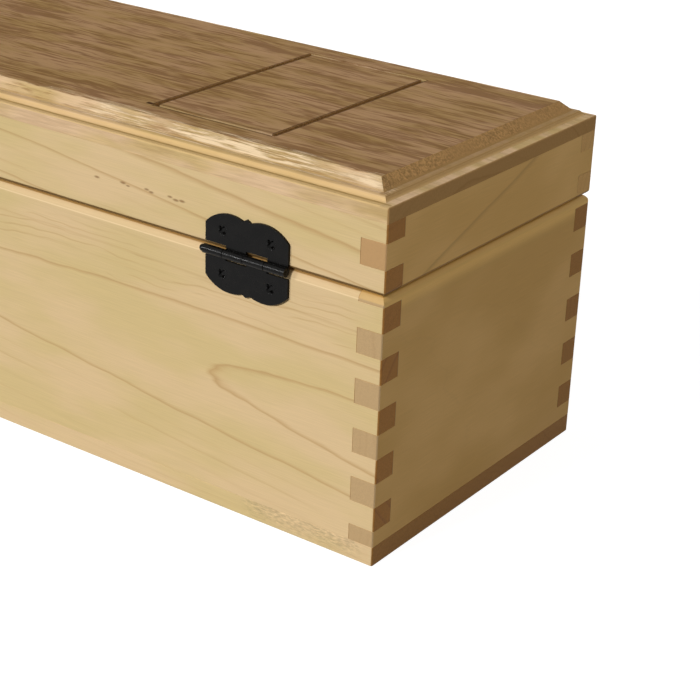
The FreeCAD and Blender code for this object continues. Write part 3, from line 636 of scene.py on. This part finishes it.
boardLooks = {
    "case_back_board": {
        **softWood, **rimOfCase, "pith": (23.8, 66.0), "tilt": (-0.03, 0.06), "seed": 2.0,
        "ringSpacing": 4.6, "boldRings": (10, 11), "warp": 0.9, "ripple": 0.5,
        "ringContrast": (0.08, 0.46),
        "wavyLines": {
            "low": (-208.0, 60.0, 84.0), "high": (230.0, 90.0, 101.0), "soft": 5.0,
            "spacing": 2.9, "width": 0.5, "slope": 0.02, "strength": 0.45,
            "bend": 5.0, "bendSize": (36.0, 30.0), "gapSize": (30.0, 5.0), "gapLevels": (0.4, 0.6),
        },
    },
    "case_front_board": {
        **softWood, **rimOfCase, "pith": (-130.0, 70.0), "tilt": (0.05, 0.02), "seed": 4.0,
        "endColour": srgb(158, 111, 53),
    },
    "lid_back_rail": {
        **softWood, **rimOfLid, "pith": (40.0, -60.0), "tilt": (0.02, 0.11), "seed": 6.0,
        "ringSpacing": 6.0, "boldRings": (30, 33, 35), "warp": 2.0,
        "pinKnots": {
            # x, z and radius of each
            "places": (
                (-84.6, 122.4, 0.55), (-98.0, 123.1, 0.6), (-100.5, 122.4, 0.4), (-110.0, 123.2, 0.5),
                (-112.2, 122.6, 0.5), (-121.5, 123.0, 0.5), (-124.4, 122.3, 0.6), (-127.4, 122.6, 0.6),
            ),
            "faceY": lidBack, "shortened": (0.36, 0.3, 1.0), "edge": (0.3, 1.3),
            "colour": srgb(124, 86, 48), "amount": 0.7,
        },
    },
    "lid_front_rail": {
        **softWood, **rimOfLid, "pith": (-140.0, 110.0), "tilt": (0.03, 0.05), "seed": 8.0,
        "endColour": srgb(212, 168, 104),
    },
    "case_left_end_board": {
        **shadedWood, "pith": (-260.0, 40.0), "tilt": (0.05, 0.06), "seed": 10.0, "lineStrength": 0.5,
        "endColour": srgb(188, 158, 116), "endSpeckle": 0.05, "bands": (caseEndRimLight, endSeamShade),
        # painted light: paler below the rim, over the whole board in the grain's own axes
        "marks": (
            ((-80.0, 200.0, caseTop - 6.0), (80.0, 230.0, caseTop + 3.0), 2.5, srgb(248, 204, 124), 0.7),
        ),
    },
    "case_right_end_board": {
        **rimOfCase, "pith": (262.0, 50.0), "tilt": (0.05, -0.04), "seed": 12.0, "alongY": True,
        "endColour": srgb(188, 158, 116),
    },
    "lid_left_end_rail": {
        **shadedWood, "pith": (220.0, -172.9), "tilt": (0.0, -0.341), "seed": 14.0,
        "ringSpacing": 30.0, "ringWaves": (0.0, 0.0), "ringContrast": (0.0, 0.3), "boldRings": (10,),
        "lineStrength": 0.55, "ripple": 0.5, "lineWidth": (2.6, 1.0), "lateColour": srgb(176, 134, 74),
        "colour": srgb(231, 188, 120), "tint": srgb(215, 172, 102), "bands": (lidEndSeamShade,),
        "endColour": srgb(188, 150, 104), "endSpeckle": 0.05,
    },
    "lid_right_end_rail": {
        **rimOfLid, "pith": (290.0, 120.0), "tilt": (0.04, -0.1), "seed": 16.0, "alongY": True,
        "endColour": srgb(184, 146, 98),
    },
    "case_bottom_board": {
        "pith": (30.0, -90.0), "tilt": (0.02, 0.03), "seed": 18.0, "endColour": srgb(158, 113, 58),
        "tornPatches": (((-214.0, 60.0, 2.0), (-160.0, 90.0, 13.0), 4.0),),
    },
    "lid_top_panel": {
        "pith": (20.0, 60.0), "tilt": (0.01, 0.03), "seed": 20.0, "ringSpacing": 5.0,
        "colour": srgb(222, 190, 152), "tint": srgb(202, 174, 120), "cloudSize": (40.0, 10.0), "cloud": 1.0,
        "lateColour": srgb(172, 138, 96), "endColour": srgb(184, 144, 92), "figure": 3.0,
        "streakSize": ((50.0, 6.0), (15.0, 1.5)), "streak": 0.65, "paleStreak": 0.5,
        "streakColour": srgb(150, 112, 74), "paleColour": srgb(228, 198, 154),
        "fibre": 0.10, "bump": 0.08, "endSpeckle": 0.30, "poreSize": 1.0, "speckleAbove": ledgeHeight + 2.4,
        "roughness": 0.72, "specular": 0.03,
        "brownField": {
            "halfWidth": 62.0, "ragged": 4.0, "raggedSize": (15.0, 1.6), "soft": 0.6, "droop": 4.0,
            "faintAt": panelTop - 0.35, "fullAt": panelTop - 0.1, "colour": srgb(204, 190, 174),
            "streaksOutside": 0.3,
        },
        "tearOut": {
            "low": (-216.0, 59.0, ledgeHeight + 1.2), "high": (216.0, 68.0, panelTop + 1.0), "soft": 0.9,
            "sliverSize": (15.0, 0.8), "patchSize": (42.0, 7.0), "patchShare": 0.6,
            "fade": (-90.0, -10.0), "fadeBy": 0.3,      # fewer patches between these two x
            "levels": (0.75, 0.91), "colour": srgb(244, 218, 180), "amount": 0.85,
            "gapLevels": (0.46, 0.36), "gapColour": srgb(146, 106, 62), "gapAmount": 0.55,
        },
        "marks": panelMarks(),
        # Painted light on the low wave's side, and a painted shadow line in the hollow above it.
        "bands": (      # the low wave's side, and the hollow above it
            (ledgeHeight + 0.2, ledgeHeight + 1.5, 0.15, srgb(220, 186, 130), 0.65),
            (ledgeHeight + 1.6, ledgeHeight + 2.6, 0.15, srgb(176, 142, 90), 0.5),
        ),
    },
}


# Black metal of the hinges and the latch

metalLook = {
    "colour": srgb(9, 8, 7),
    "screwColour": srgb(12, 11, 10),
    "cloudLift": 1.7,     # how much lighter the clouds in it are
    "cloudScale": 260.0,  # per metre, as is the grain's
    "cloudLevels": (0.4, 0.75),
    "roughness": 0.26,
    "screwRoughness": 0.18,
    "roughnessSpread": (-0.06, 0.08),
    "roughnessLevels": (0.3, 0.7),
    "specular": 0.12,
    "grain": 0.012,       # mm, bump of the baked-on lacquer
    "grainScale": 2600.0,
    "grainStrength": 0.5,
}


def blackMetal(name, colour, roughness):
    # Nearly black, with lighter and rougher clouds and a very fine grain.
    look = metalLook
    material, tree, shader = newMaterial(name)
    source = tree.nodes.new("ShaderNodeTexCoord")
    point = source.outputs["Object"]
    clouds = noise(tree, point, look["cloudScale"], detail=3.0, roughness=0.6, seed=3.0)
    grain = noise(tree, point, look["grainScale"], roughness=0.6, seed=5.0)
    lighter = tuple(look["cloudLift"] * part for part in colour[:3]) + (1.0,)
    tone = blendColours(tree, ramp(tree, clouds, *look["cloudLevels"]), colour, lighter)
    tree.links.new(tone, shader.inputs["Base Color"])
    low, high = (roughness + change for change in look["roughnessSpread"])
    tree.links.new(ramp(tree, clouds, *look["roughnessLevels"], low, high), shader.inputs["Roughness"])
    shader.inputs["Specular IOR Level"].default_value = look["specular"]
    addRelief(tree, shader, grain, look["grain"], look["grainStrength"])
    return material


lacquer = blackMetal("black_lacquer", metalLook["colour"], metalLook["roughness"])
screwBlack = blackMetal("blackened_screw", metalLook["screwColour"], metalLook["screwRoughness"])


# Boards and plates keep the shapes of the model, with their edges softened.

edgeLook = {
    "board": 0.25 * mm,
    "plate": 0.15 * mm,
    "sharp": math.radians(30),   # an edge that turns more than this is rounded
    "smooth": math.radians(50),  # faces that turn less than this are shaded as one
    "flat": math.radians(1),     # and less than this, made one
    "weld": 0.001 * mm,
}


def softenedCopy(node, width):
    # The node's own shape with its sharp edges rounded off.
    shape = bmesh.new()
    shape.from_mesh(frame["nodes"][node].data)
    bmesh.ops.remove_doubles(shape, verts=shape.verts, dist=edgeLook["weld"])
    bmesh.ops.dissolve_limit(shape, angle_limit=edgeLook["flat"], verts=shape.verts, edges=shape.edges)
    sharp = [edge for edge in shape.edges if edge.calc_face_angle(0) > edgeLook["sharp"]]
    bmesh.ops.bevel(shape, geom=sharp, offset=width, offset_type="OFFSET", segments=2, profile=0.5,
                    affect="EDGES", clamp_overlap=True)
    mesh = bpy.data.meshes.new(node + "_softened")
    shape.to_mesh(mesh)
    shape.free()
    steadyNormals(mesh)
    piece = bpy.data.objects.new(node + "_softened", mesh)
    bpy.context.collection.objects.link(piece)
    return piece


def steadyNormals(mesh):
    # Each corner's shading normal is the sum of the normals of the faces round its point that
    # turn little from its own face, weighted by their areas, so that flats stay flat.
    mesh.polygons.foreach_set("use_smooth", np.ones(len(mesh.polygons), dtype=bool))
    shape = bmesh.new()
    shape.from_mesh(mesh)
    leastCosine = math.cos(edgeLook["smooth"])
    normals = []
    for face in shape.faces:
        for corner in face.loops:
            near = [other for other in corner.vert.link_faces if other.normal.dot(face.normal) > leastCosine]
            normals.append(sum((other.normal * other.calc_area() for other in near), Vector()).normalized())
    shape.free()
    mesh.normals_split_custom_set(normals)


def ridesAs(piece, node, material):
    # The piece takes the node's place, on the same body.
    piece.data.materials.clear()
    piece.data.materials.append(material)
    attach(piece, body_of(frame["nodes"][node])[0])
    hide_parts(node)


def dressBoards():
    for node, look in boardLooks.items():
        piece = softenedCopy(node, edgeLook["board"])
        ridesAs(piece, node, woodMaterial(node + "_wood", **look))
    print("boards dressed:", len(boardLooks))


def dressPlates():
    plates = [side + "_hinge_" + leaf for side in ("left", "right") for leaf in ("lid_leaf", "case_leaf")]
    plates += ["latch_lid_plate", "latch_case_plate", "latch_hook"]
    for node in plates:
        ridesAs(softenedCopy(node, edgeLook["plate"]), node, lacquer)
    print("plates softened:", len(plates))


dressBoards()
dressPlates()


# Turned pieces: screws, pins, rivet and stud

turnedLook = {
    "around": 48,                # corners of a full circle
    "crease": math.radians(40),  # an edge that turns more than this stays sharp
    "weld": 0.0001 * mm,
}


def turnedMesh(name, stations, places, axis, around=turnedLook["around"], recess=None):
    # Each place gets one copy of a closed surface of two parameters: the station along a
    # half section (radius, height, share) and the angle round the axis. recess(x, y) lowers
    # the stations by their share, which is 1 on the head's face and 0 below it.
    radius, height, onFace = (np.array(column, dtype=float) for column in zip(*stations))
    angle = np.linspace(0, 2 * np.pi, around, endpoint=False)
    a = radius[:, None] * np.cos(angle)
    b = radius[:, None] * np.sin(angle)
    h = np.repeat(height[:, None], around, axis=1)
    if recess is not None:
        h = h - onFace[:, None] * recess(a, b)
    axis = Vector(axis).normalized()
    side = axis.orthogonal().normalized()
    other = axis.cross(side)
    local = a[..., None] * np.array(side) + b[..., None] * np.array(other) + h[..., None] * np.array(axis)
    rows, columns = radius.size, around
    index = np.arange(rows * columns).reshape(rows, columns)
    turned = np.roll(index, -1, axis=1)
    quads = np.stack([index[:-1], index[1:], turned[1:], turned[:-1]], axis=-1).reshape(-1, 4)
    points = np.concatenate([local.reshape(-1, 3) + np.array(place) for place in places])
    faces = np.concatenate([quads + copy * rows * columns for copy in range(len(places))])
    mesh = bpy.data.meshes.new(name)
    mesh.from_pydata(points, [], faces.tolist())
    shape = bmesh.new()
    shape.from_mesh(mesh)
    bmesh.ops.remove_doubles(shape, verts=shape.verts, dist=turnedLook["weld"])
    bmesh.ops.recalc_face_normals(shape, faces=shape.faces)
    shape.to_mesh(mesh)
    shape.free()
    mesh.polygons.foreach_set("use_smooth", np.ones(len(mesh.polygons), dtype=bool))
    mesh.set_sharp_from_angle(angle=turnedLook["crease"])
    piece = bpy.data.objects.new(name, mesh)
    bpy.context.collection.objects.link(piece)
    return piece


def smoothStep(low, high, value):
    # 3 t squared less 2 t cubed, where t runs from 0 at low to 1 at high.
    part = np.clip((value - low) / (high - low), 0, 1)
    return part * part * (3 - 2 * part)


screwLook = {
    "headRadius": 2.2 * mm,
    "shankRadius": 1.2 * mm,
    "length": 9.0 * mm,
    "tip": 2.5 * mm,
    "dish": 0.10 * mm,          # the head's face rises this much towards its middle
    "armLength": 2.1 * mm,      # cross recess, from the middle to the end of an arm
    "armDeep": 0.65,            # share of an arm's length that is at full depth
    "armWidth": 0.62 * mm,      # half width of an arm
    "armWall": 0.14 * mm,       # half width of its sloping walls
    "recessDepth": 0.95 * mm,
    "faceStations": 16,
    "leafSpacing": 22.6 * mm,   # between the two screws of a hinge leaf
    "leafHeight": 8.6 * mm,     # from the hinge's axis to them
    "plateSpacing": 17.0 * mm,  # between the two screws of a latch plate
}


def crossRecess(x, y):
    # Depth of a cross: deep inside either arm, falling off over its walls, its arms shallower
    # towards their ends.
    look = screwLook
    wall = look["armWall"]
    arms = []
    for along, across in ((x, y), (y, x)):
        inside = 1 - smoothStep(look["armWidth"] - wall, look["armWidth"] + wall, np.abs(across))
        reach = 1 - smoothStep(look["armLength"] * look["armDeep"], look["armLength"], np.abs(along))
        arms.append(inside * reach)
    return look["recessDepth"] * np.maximum(*arms)


def screwStations():
    # A face that rises towards its middle as one less the square of the radius, a cone under
    # it as deep as it narrows, a straight shank and a pointed tip.
    look = screwLook
    part = np.linspace(0, 1, look["faceStations"])
    face = [(look["headRadius"] * p, look["dish"] * (1 - p * p), 1.0) for p in part]
    sink = look["headRadius"] - look["shankRadius"]
    shank = [
        (look["shankRadius"], -sink, 0.0),
        (look["shankRadius"], -look["length"] + look["tip"], 0.0),
        (0.0, -look["length"], 0.0),
    ]
    return face + shank


def dressScrews():
    look = screwLook
    axisHeight = frame["joints"][0]["pos_m"][2]
    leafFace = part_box("hinge_case_screws")[1][1]
    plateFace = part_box("latch_case_screws")[0][1]
    for owner, sign in (("lid", 1), ("case", -1)):
        leafPlaces = []
        for side in ("left", "right"):
            low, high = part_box("%s_hinge_%s_leaf" % (side, owner))
            middle = (low[0] + high[0]) / 2
            for step in (-0.5, 0.5):
                leafPlaces.append((middle + step * look["leafSpacing"], leafFace,
                                   axisHeight + sign * look["leafHeight"]))
        low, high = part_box("latch_%s_screws" % owner)
        height = (low[2] + high[2]) / 2
        platePlaces = [(step * look["plateSpacing"], plateFace, height) for step in (-0.5, 0.5)]
        for kind, places, outwards in (("hinge", leafPlaces, 1), ("latch", platePlaces, -1)):
            node = "%s_%s_screws" % (kind, owner)
            piece = turnedMesh(node + "_turned", screwStations(), places, (0, outwards, 0),
                               recess=crossRecess)
            ridesAs(piece, node, screwBlack)
    print("screws turned")


dressScrews()


headLook = {
    "domeStations": 8,
    "edge": 0.25,               # share of a head's height that its straight edge takes
    "pinRod": 0.7 * mm,         # radius
    "pinHead": 1.5 * mm,        # length
    "pinAround": 40,
    "postHead": 0.9 * mm,       # thickness of the rivet's and the stud's heads
    "postShanks": {"latch_pivot_rivet": 1.2 * mm, "latch_keeper_stud": 1.5 * mm},
}


def domedStations(shankRadius, shankLength, headRadius, headHeight):
    # A plain shank below height 0 and a head above it: a straight edge, then a quarter of an
    # ellipse up to the middle.
    part = np.linspace(0, np.pi / 2, headLook["domeStations"])
    edge = headLook["edge"]
    dome = [(headRadius * np.sin(p), headHeight * (edge + (1 - edge) * np.cos(p)), 0.0) for p in part]
    return dome + [(headRadius, 0.0, 0.0), (shankRadius, 0.0, 0.0),
                   (shankRadius, -shankLength, 0.0), (0.0, -shankLength, 0.0)]


def dressPins():
    # A rod from the low end of its box to a domed head at the high end.
    rodRadius, headLength = headLook["pinRod"], headLook["pinHead"]
    for side in ("left", "right"):
        node = side + "_hinge_pin"
        low, high = (Vector(corner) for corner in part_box(node))
        headRadius = (high[1] - low[1]) / 2
        place = (high[0] - headLength, (low[1] + high[1]) / 2, (low[2] + high[2]) / 2)
        rod = high[0] - low[0] - headLength
        stations = domedStations(rodRadius, rod, headRadius, headLength)
        piece = turnedMesh(node + "_turned", stations, [place], (1, 0, 0), headLook["pinAround"])
        ridesAs(piece, node, lacquer)
    print("pins turned")


def dressPosts():
    # A domed head on the front and a plain shank behind it.
    thickness = headLook["postHead"]
    for node, shankRadius in headLook["postShanks"].items():
        low, high = (Vector(corner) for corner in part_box(node))
        headRadius = (high[0] - low[0]) / 2
        place = ((low[0] + high[0]) / 2, low[1] + thickness, (low[2] + high[2]) / 2)
        shank = high[1] - low[1] - thickness
        stations = domedStations(shankRadius, shank, headRadius, thickness)
        piece = turnedMesh(node + "_turned", stations, [place], (0, -1, 0))
        ridesAs(piece, node, lacquer)
    print("rivet and stud turned")


dressPins()
dressPosts()


# Floor, lights and camera

white = (1.0, 1.0, 1.0, 1.0)

stageLook = {
    "floorSize": 8.0,
    "floorColour": srgb(140, 140, 140),
    "floorRoughness": 0.9,
    "floorGlow": 0.94,  # only where the floor is seen, so that it lights nothing
    "ambient": (1.0, 0.93, 0.84, 1.0),
    "ambientStrength": 0.20,
    # name, energy, apparent width in degrees, direction that the light travels in
    "suns": (
        ("keyLight", 2.22, 8.0, (-0.22, -1.0, -0.60)),
        ("endLight", 0.62, 60.0, (1.0, 0.05, -0.06)),
        ("frontLight", 1.20, 50.0, (-0.15, 1.0, -0.08)),
        ("glintLight", 0.70, 6.0, (-0.58, -0.75, -0.32)),
    ),
}


def seenDirectly(tree):
    # 1 for rays that come from the camera, a mirror or glass.
    rays = tree.nodes.new("ShaderNodeLightPath")
    first = calc(tree, "MAXIMUM", rays.outputs["Is Camera Ray"], rays.outputs["Is Glossy Ray"])
    return calc(tree, "MAXIMUM", first, rays.outputs["Is Transmission Ray"])


def buildFloor():
    look = stageLook
    half = look["floorSize"] / 2
    corners = [(-half, -half, 0), (half, -half, 0), (half, half, 0), (-half, half, 0)]
    mesh = bpy.data.meshes.new("floor")
    mesh.from_pydata(corners, [], [(0, 1, 2, 3)])
    floor = bpy.data.objects.new("floor", mesh)
    bpy.context.collection.objects.link(floor)
    material, tree, shader = newMaterial("pale_floor")
    shader.inputs["Base Color"].default_value = look["floorColour"]
    shader.inputs["Roughness"].default_value = look["floorRoughness"]
    shader.inputs["Specular IOR Level"].default_value = 0.0
    shader.inputs["Emission Color"].default_value = white
    glow = calc(tree, "MULTIPLY", seenDirectly(tree), look["floorGlow"])
    tree.links.new(glow, shader.inputs["Emission Strength"])
    mesh.materials.append(material)


def buildWorld():
    # A soft warm light on the object, and plain white where the world itself is seen.
    world = bpy.data.worlds.new("studio")
    bpy.context.scene.world = world
    world.use_nodes = True
    tree = world.node_tree
    tree.nodes.clear()
    output = tree.nodes.new("ShaderNodeOutputWorld")
    mix = tree.nodes.new("ShaderNodeMixShader")
    tree.links.new(seenDirectly(tree), mix.inputs["Fac"])
    tones = ((stageLook["ambient"], stageLook["ambientStrength"]), (white, 1.0))
    for socket, (colour, strength) in zip(mix.inputs[1:], tones):
        background = tree.nodes.new("ShaderNodeBackground")
        background.inputs["Color"].default_value = colour
        background.inputs["Strength"].default_value = strength
        tree.links.new(background.outputs["Background"], socket)
    tree.links.new(mix.outputs["Shader"], output.inputs["Surface"])


def placeLights():
    for name, energy, angle, towards in stageLook["suns"]:
        light = bpy.data.lights.new(name, "SUN")
        light.energy = energy
        light.angle = math.radians(angle)
        lamp = bpy.data.objects.new(name, light)
        lamp.rotation_mode = "QUATERNION"
        lamp.rotation_quaternion = Vector(towards).to_track_quat("-Z", "Y")
        bpy.context.collection.objects.link(lamp)


cameraLook = {
    "place": (-0.5433, 0.5604, 0.3510),
    "heading": -55.28,      # degrees from +X, about the vertical
    "pitch": -24.21,
    "roll": 2.34,
    "lens": 93.12,          # mm
    "sensor": 36.0,         # mm
    "nearest": 0.01,        # metres from it, where the picture starts
}


def placeCamera():
    # Looks along the heading and pitch, then turns about that line by the roll.
    look = cameraLook
    heading, pitch = math.radians(look["heading"]), math.radians(look["pitch"])
    forward = Vector((math.cos(heading) * math.cos(pitch), math.sin(heading) * math.cos(pitch),
                      math.sin(pitch)))
    data = bpy.data.cameras.new("camera")
    data.lens = look["lens"]
    data.sensor_width = look["sensor"]
    data.clip_start = look["nearest"]
    camera = bpy.data.objects.new("camera", data)
    camera.rotation_mode = "QUATERNION"
    upright = forward.to_track_quat("-Z", "Y").to_matrix()
    turned = upright @ Matrix.Rotation(math.radians(look["roll"]), 3, "Z")
    camera.rotation_quaternion = turned.to_quaternion()
    camera.location = look["place"]
    bpy.context.collection.objects.link(camera)
    bpy.context.scene.camera = camera
    bpy.context.scene.view_settings.view_transform = "Standard"
    print("camera placed")


buildFloor()
buildWorld()
placeLights()
print("stage built")
placeCamera()
